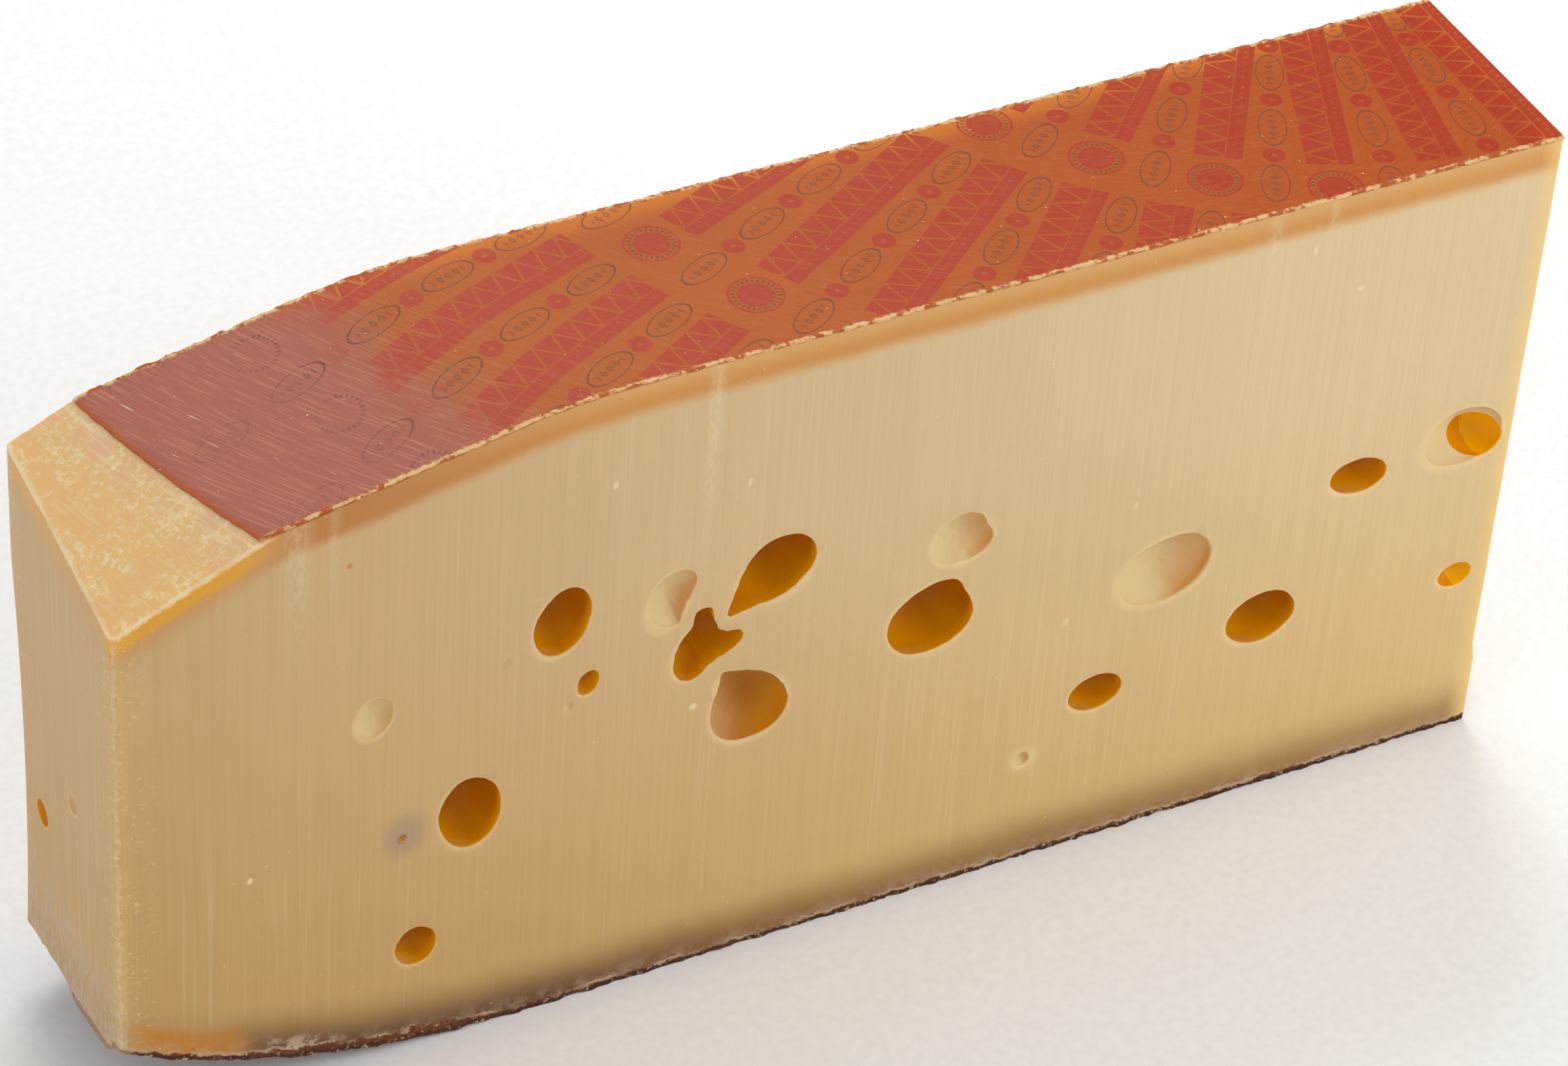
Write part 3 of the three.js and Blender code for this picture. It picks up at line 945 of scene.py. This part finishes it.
def eye_colours(recipe, place, paste, kind):
    """An eye's wall: paste at the lip, then painted light and shade: a golden glow inside, browner deep
    down, paler where it faces the light.
    """
    depth = depth_in_cut(recipe, place)
    normal = recipe.put("SeparateXYZ", {0: recipe.put("NewGeometry", out=1)}).node.outputs
    to_right = recipe.times(normal[0], -1.0)
    to_low_right = recipe.add(recipe.times(to_right, 0.87), recipe.times(normal[2], 0.5))
    # Eyes near the inner end: deep ones take a painted yellow glow, dishes less painted peach and gold
    near_inner_end = recipe.ramp(place["x"], 150, 180)
    # Dishes: painted shade on walls facing down, painted peach and gold glow on walls turned away from the
    # light
    if kind == "dish":
        peach = recipe.times(recipe.slope(to_right, -0.1, 0.7), recipe.slope(near_inner_end, 0, 1, 0.8, 0.3))
        peach = recipe.times(peach, recipe.ramp(place["x"], -115, -75, 0.5, 1.0))
        wall = recipe.mix(recipe.slope(normal[2], -0.1, -0.8, 0, 0.6), DISH_PALE, DISH_SHADE)
        wall = recipe.mix(peach, wall, DISH_PEACH)
        golden = recipe.times(recipe.ramp(to_low_right, 0.38, 0.78), recipe.slope(near_inner_end, 0, 1, 0.8, 0.2))
        golden = recipe.times(golden, recipe.ramp(place["x"], -60, 60, 0.25, 1.0))
        wall = recipe.mix(golden, wall, DISH_GOLD)
        return recipe.mix(recipe.ramp(depth, 0.2, 0.7), paste, wall)
    # Open eye: painted light and shade by the way each wall faces, paler towards the light, brown away from
    # it, gold low on the right, painted shade on the top wall
    if kind == "open":
        wall = recipe.mix(recipe.slope(to_right, -0.85, 0.15), OPEN_TAN, OPEN_BROWN)
        wall = recipe.mix(recipe.ramp(to_low_right, 0.35, 0.85), wall, OPEN_GOLD)
        wall = recipe.mix(recipe.slope(normal[2], -0.05, -0.65, 0, 0.75), wall, OPEN_TOP_SHADE)
        return recipe.mix(recipe.ramp(depth, 0.15, 0.6), paste, wall)
    # Deep eyes: painted glow, yellow on walls turned away from the light, browner deeper in as painted
    # shade, more gold on the floor, paler on lit walls
    unlit_side = recipe.ramp(to_right, -0.1, 0.1)
    gold = recipe.mix(near_inner_end, EYE_GOLD, recipe.mix(unlit_side, EYE_OCHRE, EYE_YELLOW))
    brown = recipe.mix(near_inner_end, EYE_BROWN, recipe.mix(unlit_side, EYE_OCHRE, EYE_YELLOW))
    wall = recipe.mix(recipe.ramp(depth, 1.0, 5.5), gold, brown)
    wall = recipe.mix(recipe.ramp(normal[2], 0.2, 0.9, 0.0, 0.6), wall, gold)
    lit_wall = recipe.times(recipe.ramp(normal[0], -0.3, 0.45), recipe.ramp(depth, 5.5, 1.2))
    wall = recipe.mix(recipe.times(lit_wall, recipe.slope(near_inner_end, 0, 1, 0.75, 0)), wall, EYE_LIT_TAN)
    return recipe.mix(recipe.ramp(depth, 0.1, 0.5), paste, wall)


LIGHT_REACH = 4                                    # how far light wanders inside the paste


def cheese_finish(name, eye=None):
    """The cut paste with its surface and rinds, or the wall of one kind of eye."""
    recipe = Recipe(name)
    place = place_on_wheel(recipe)
    colour, fine, lines = plain_paste(recipe, place)
    if eye:
        # Painted highlight on the eye's lip, the same colour as round its mouth
        colour = recipe.mix(LIP_HIGHLIGHT_SHARE, colour, LIP_HIGHLIGHT)
        colour = eye_colours(recipe, place, colour, eye)
        roughness = recipe.add(0.38, recipe.times(lines, 0.1))
        granules = recipe.noise(place["spot"], 3, 3)
    else:
        colour = paste_surface(recipe, place, colour)
        colour, roughness, granules = with_rinds(recipe, place, colour, 0.5)
    bump = recipe.add(recipe.times(fine, 0.4), recipe.times(lines, 0.5), recipe.times(granules, 0.5))
    shader = recipe.shader.inputs
    shader["Subsurface Weight"].default_value = 0.2 if eye == "deep" else 0.4
    shader["Subsurface Radius"].default_value = (1.0, 0.5, 0.15)
    shader["Subsurface Scale"].default_value = LIGHT_REACH * MM
    shader["Specular IOR Level"].default_value = 0.12 if eye else 0.3
    return recipe.finish(colour, roughness, bump, 0.25, 0.5)


# ---------------------------------------------------------------- print on the film

# Three rings of print: outer radius of the ring, degrees between its rows, angle of one row.
# A bar runs from BAR[0] to BAR[1] inwards from its ring's edge, and from BAR[2] to BAR[3] across.
PRINT_RINGS = ((349.4, 5.02, 20.86), (254.7, 7.18, 23.6), (160.0, 10.99, 33.78))
RING_EDGES = (262, 167)
PRINT_PITCH = 24.2
BAR = (9.8, 81.5, -6.2, 6.2)
STRIP_START = 1.9
OVAL = (8.0, 3.75)
DISC_RADIUS = 3.0
FRIEZE_PITCH = 7.2
DASH_PITCH = 2.3
WAVE_PITCH = 2.6
INK_EDGE = 0.15                                    # how softly the print ends
OVALS_END = 85.0                                   # the rows of ovals and discs stop this far in
DISCS_END = 75.0
# Round seals, by radius: star, solid middle's soft edge, beads, outer ring
SEAL_STAR = (1.6, 3.2)
SEAL_EDGE = (4.6, 4.9)
SEAL_BEADS = (5.1, 6.3)
SEAL_RING = (6.6, 7.3)
SEAL_BEAD_COUNT = 26
FILM_ORANGE = tone(177, 92, 36)
FILM_RIGHT = tone(174, 74, 0)
# Painted glow along the film's back and inner edges
FILM_EDGE_PAINTED_GLOW = tone(214, 124, 34)
FILM_ROSE = tone(166, 98, 82)
PRINT_RED = tone(174, 64, 48)
PRINT_RED_RIGHT = tone(166, 40, 8)
PRINT_DARK = tone(88, 62, 54)
SCRATCH = tone(200, 138, 108)
FRAY = tone(222, 184, 130)
FILM_RIM = tone(178, 92, 48)


def by_ring(recipe, radius, values):
    outer = recipe.math("GREATER_THAN", radius, RING_EDGES[0])
    middle = recipe.math("GREATER_THAN", radius, RING_EDGES[1])
    return recipe.add(
        values[2],
        recipe.times(middle, values[1] - values[2]),
        recipe.times(outer, values[0] - values[1]),
    )


def around_whole(recipe, value):
    """How far a value lies from the nearest whole number."""
    return recipe.math("SUBTRACT", value, recipe.math("ROUND", value))


def length_of(recipe, first, second):
    return recipe.math("SQRT", recipe.add(recipe.times(first, first), recipe.times(second, second)))


def triangle_wave(recipe, value):
    """Swings evenly between -1 and 1, once for each whole number."""
    return recipe.less(recipe.times(recipe.math("ABSOLUTE", around_whole(recipe, value)), 4.0), 1.0)


def thin_line(recipe, first, second, half_width, soft):
    """1 where two values nearly meet."""
    apart = recipe.math("ABSOLUTE", recipe.less(first, second))
    return recipe.ramp(apart, half_width - soft, half_width + soft, 1, 0)


def printed_bars(recipe, inward, across):
    """A bold frieze of triangles over a solid strip with a fine dotted line."""
    on_bar = recipe.between(inward, BAR[0], BAR[1], INK_EDGE)
    middle, half = (BAR[2] + STRIP_START) / 2, (STRIP_START - BAR[2]) / 2
    wave = triangle_wave(recipe, recipe.times(inward, 1 / FRIEZE_PITCH))
    level = recipe.times(recipe.less(across, middle), 1 / half)
    frieze = recipe.less(1.0, thin_line(recipe, level, wave, 0.21, 0.05))
    frieze = recipe.times(frieze, recipe.between(across, BAR[2], STRIP_START - 0.35, INK_EDGE))
    dots = around_whole(recipe, recipe.times(inward, 1 / DASH_PITCH))
    dots = recipe.times(recipe.ramp(recipe.math("ABSOLUTE", dots), 0.22, 0.3, 1, 0),
                        recipe.between(across, 3.6, 4.5, INK_EDGE), 0.3)
    strip = recipe.times(recipe.between(across, STRIP_START, BAR[3], INK_EDGE), recipe.less(1.0, dots))
    return recipe.times(on_bar, recipe.math("MAXIMUM", frieze, strip))


def repeated(recipe, inward, start):
    """Distance along a row from the nearest of the shapes repeated down it."""
    count = recipe.times(recipe.less(inward, start), 1 / PRINT_PITCH)
    return recipe.times(around_whole(recipe, count), PRINT_PITCH)


def printed_ovals(recipe, inward, row):
    """Thin ovals with a small wavy line inside."""
    along = repeated(recipe, inward, 0.8)
    reach = length_of(recipe, recipe.times(along, 1 / OVAL[0]), recipe.times(row, 1 / OVAL[1]))
    ring = recipe.between(reach, 0.93, 1.01, 0.03)
    wave = thin_line(recipe, triangle_wave(recipe, recipe.times(along, 1 / WAVE_PITCH)), row, 0.55, 0.15)
    wave = recipe.times(wave, recipe.ramp(recipe.math("ABSOLUTE", along), 5.0, 5.3, 0.6, 0))
    return recipe.times(recipe.math("MAXIMUM", ring, wave), recipe.math("LESS_THAN", inward, OVALS_END))


def print_masks(recipe, place):
    radius = place["radius"]
    degrees = recipe.times(place["angle"], 180 / math.pi)
    outer = by_ring(recipe, radius, [ring[0] for ring in PRINT_RINGS])
    pitch = by_ring(recipe, radius, [ring[1] for ring in PRINT_RINGS])
    phase = by_ring(recipe, radius, [ring[2] for ring in PRINT_RINGS])
    cell = around_whole(recipe, recipe.math("DIVIDE", recipe.less(degrees, phase), pitch))
    to_mm = recipe.times(pitch, math.pi / 180, radius)
    across = recipe.times(cell, to_mm)
    inward = recipe.less(outer, radius)
    row = recipe.times(recipe.less(recipe.math("ABSOLUTE", cell), 0.5), to_mm)

    disc_reach = length_of(recipe, repeated(recipe, inward, 12.9), row)
    discs = recipe.between(disc_reach, 0.7, DISC_RADIUS, INK_EDGE)
    discs = recipe.times(discs, recipe.math("LESS_THAN", inward, DISCS_END))

    seal_reach = length_of(recipe, inward, across)
    turn = recipe.math("ARCTAN2", inward, across)
    spokes = around_whole(recipe, recipe.times(turn, SEAL_BEAD_COUNT / math.tau))
    spokes = recipe.math("ABSOLUTE", spokes)
    beads = recipe.between(seal_reach, *SEAL_BEADS, INK_EDGE)
    beads = recipe.times(beads, recipe.ramp(spokes, 0.2, 0.3), 0.75)
    star = recipe.times(recipe.between(seal_reach, *SEAL_STAR, 0.3), recipe.ramp(spokes, 0.34, 0.4), 0.4)
    seal = recipe.less(recipe.ramp(seal_reach, *SEAL_EDGE, 1, 0), star)
    seal = recipe.math("MAXIMUM", seal, recipe.between(seal_reach, *SEAL_RING, 0.12))
    seal = recipe.times(seal, recipe.math("LESS_THAN", radius, RING_EDGES[0]))

    red = recipe.math("MAXIMUM", printed_bars(recipe, inward, across), recipe.math("MAXIMUM", discs, seal))
    dark = recipe.math("MAXIMUM", printed_ovals(recipe, inward, row), beads)
    return red, dark


def film_colours(recipe, place, grain, cloud, wear):
    """Orange film, rose where it thins towards the rim, with red and dark print and a painted glow along its
    back and inner edges.
    """
    x, radius = place["x"], place["radius"]
    colour = recipe.mix(recipe.slope(x, -90, 190), FILM_ORANGE, FILM_RIGHT)
    # Painted glow along the back and inner-end edges, its edge made ragged by noise
    glow_edge_jitter = recipe.times(cloud, 8.0)
    to_back = recipe.add(recipe.less(BACK, place["y"]), glow_edge_jitter)
    to_inner = recipe.add(recipe.less(INNER_END, x), glow_edge_jitter)
    edge = recipe.ramp(recipe.math("MINIMUM", to_back, to_inner), 3, 14, 0.75, 0.0)
    colour = recipe.mix(edge, colour, FILM_EDGE_PAINTED_GLOW)
    rose = recipe.ramp(recipe.add(radius, recipe.times(cloud, 40.0)), 330, 372)
    colour = recipe.mix(rose, colour, FILM_ROSE)
    colour = recipe.shade(colour, recipe.add(0.8, recipe.times(grain, 0.22), recipe.times(cloud, 0.18)))

    red, dark = print_masks(recipe, place)
    inked = recipe.ramp(wear, 0.3, 0.42, 0.72, 1.0)
    fade = recipe.ramp(recipe.add(radius, recipe.times(cloud, 30.0)), 335, 362, 0.88, 0.0)
    ink = recipe.mix(recipe.slope(x, -90, 190), PRINT_RED, PRINT_RED_RIGHT)
    ink = recipe.shade(ink, recipe.add(0.88, recipe.times(grain, 0.24)))
    colour = recipe.mix(recipe.times(red, inked, fade), colour, ink)
    dark_fade = recipe.ramp(radius, 340, 358, 0.75, 0.3)
    return recipe.mix(recipe.times(dark, inked, dark_fade), colour, PRINT_DARK)


def film_finish():
    recipe = Recipe("printed_film")
    place = place_on_wheel(recipe)
    spot, radius = place["spot"], place["radius"]
    grain = recipe.noise(spot, 0.7, 3, 0.6)
    cloud = recipe.noise(spot, 26, 3)
    wear = recipe.noise(spot, 3.0, 5, 0.7)
    colour = film_colours(recipe, place, grain, cloud, wear)

    sweep = recipe.times(place["angle"], 330.0)
    skewed = recipe.put("CombineXYZ", {0: recipe.add(radius, recipe.times(sweep, 0.22)), 1: sweep, 2: 0.0})
    scratches = recipe.noise(skewed, 0.45, 2, 0.6, (1, 30, 1))
    scratch = recipe.times(recipe.ramp(scratches, 0.5, 0.66), recipe.ramp(radius, 300, 350, 0.12, 0.5))
    colour = recipe.mix(scratch, colour, SCRATCH)
    gouges = recipe.ramp(recipe.noise(skewed, 1.1, 2, 0.5, (1, 14, 1)), 0.7, 0.74)
    colour = recipe.mix(recipe.times(gouges, recipe.ramp(radius, 340, 370, 0, 0.7)), colour, POWDER)
    rim_noise = recipe.noise(spot, 1.5, 4, 0.7)
    end = recipe.add(recipe.less(FILM_RADIUS, radius), recipe.times(rim_noise, -2.4))
    colour = recipe.mix(recipe.ramp(end, -0.7, 0.3, 0.9, 0), colour, FILM_RIM)
    specks = recipe.ramp(recipe.noise(spot, 1.3, 2), 0.74, 0.77)
    colour = recipe.mix(recipe.times(specks, 0.7), colour, POWDER)

    from_edge = recipe.math("MINIMUM", recipe.less(place["y"], FRONT), recipe.less(BACK, place["y"]))
    bits = recipe.noise(spot, 1.6, 5, 0.75)
    torn = recipe.ramp(recipe.add(from_edge, recipe.times(bits, -3.0)), -0.8, 0.0, 1, 0)
    red_bits = recipe.ramp(recipe.noise(spot, 4, 4, 0.7), 0.46, 0.56)
    fray = recipe.mix(red_bits, FRAY, FILM_RIM)
    colour = recipe.mix(torn, colour, fray)

    roughness = recipe.add(0.5, recipe.times(grain, 0.12), recipe.times(torn, 0.3))
    bump = recipe.add(recipe.times(grain, 0.3), recipe.times(scratches, 0.6), recipe.times(wear, 0.3))
    shader = recipe.shader.inputs
    shader["Subsurface Weight"].default_value = 0.1
    shader["Subsurface Radius"].default_value = (1.0, 0.4, 0.15)
    shader["Subsurface Scale"].default_value = 1.5 * MM
    shader["Specular IOR Level"].default_value = 0.16
    return recipe.finish(colour, roughness, bump, 0.3, 0.3)


# ---------------------------------------------------------------- studio

CAMERA_TARGET = Vector((2.7, 9.4, 98.7)) * MM
CAMERA_DISTANCE = 1476 * MM
CAMERA_AZIMUTH = math.radians(-29.64)
CAMERA_ELEVATION = math.radians(39.77)
CAMERA_ROLL = math.radians(4.31)


def camera():
    ahead = Vector((
        -math.sin(CAMERA_AZIMUTH) * math.cos(CAMERA_ELEVATION),
        math.cos(CAMERA_AZIMUTH) * math.cos(CAMERA_ELEVATION),
        -math.sin(CAMERA_ELEVATION),
    ))
    right = Vector((math.cos(CAMERA_AZIMUTH), math.sin(CAMERA_AZIMUTH), 0))
    up = right.cross(ahead)
    tilted_right = right * math.cos(CAMERA_ROLL) + up * math.sin(CAMERA_ROLL)
    tilted_up = up * math.cos(CAMERA_ROLL) - right * math.sin(CAMERA_ROLL)
    bpy.ops.object.camera_add(location=CAMERA_TARGET - ahead * CAMERA_DISTANCE)
    eye = bpy.context.object
    eye.rotation_euler = Matrix((tilted_right, tilted_up, -ahead)).transposed().to_euler()
    eye.data.lens = 130.6
    eye.data.sensor_width = 36
    bpy.context.scene.camera = eye


def soft_light(name, place, aim, size, power, colour):
    bpy.ops.object.light_add(type="AREA", location=place)
    lamp = bpy.context.object
    lamp.name = name
    lamp.data.shape = "DISK"
    lamp.data.size = size
    lamp.data.energy = power
    lamp.data.color = colour
    lamp.rotation_euler = (Vector(aim) - Vector(place)).to_track_quat("-Z", "Y").to_euler()


def studio():
    bpy.ops.mesh.primitive_plane_add(size=12)
    floor = bpy.context.object
    floor.name = "floor"
    paper = Recipe("floor_paper")
    spot = paper.put("TexCoord", out=3)
    grain = paper.put("TexNoise", {0: spot, 2: 300.0})
    colour = paper.mix(paper.ramp(grain, 0.3, 0.7), tone(244, 244, 244), tone(248, 248, 247))
    floor.data.materials.append(paper.finish(colour, 0.9, grain, 0.02, 0.2))
    world = bpy.data.worlds.new("studio")
    world.use_nodes = True
    world.node_tree.nodes["Background"].inputs[0].default_value = (1.0, 1.0, 1.0, 1)
    world.node_tree.nodes["Background"].inputs[1].default_value = 0.57
    bpy.context.scene.world = world
    bpy.context.scene.view_settings.view_transform = "Standard"
    soft_light("key", (0.85, -0.8, 0.85), (0.05, 0, 0.1), 0.7, 6.3, (1.0, 0.99, 0.97))
    soft_light("fill", (-1.4, -0.6, 0.8), (0, 0, 0.1), 1.2, 4, (1.0, 1.0, 1.0))
    soft_light("back", (0.3, 1.0, 1.5), (0, 0, 0.1), 0.9, 12, (1.0, 1.0, 1.0))


def main():
    camera()
    studio()
    finishes = {
        "paste": cheese_finish("cheese_paste"),
        "deep": cheese_finish("eye_deep", "deep"),
        "open": cheese_finish("eye_open", "open"),
        "dish": cheese_finish("eye_dish", "dish"),
    }
    block = cheese_block()
    block.data.materials.append(finishes["paste"])
    cut_eyes(block, finishes)
    film = printed_film()
    film.data.materials.append(film_finish())
    for piece in (block, film):
        take(piece)
        bpy.ops.object.shade_smooth_by_angle(angle=math.radians(50))
        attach(piece, "root")
    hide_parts("cheese_block")
    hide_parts("rind_film")


main()
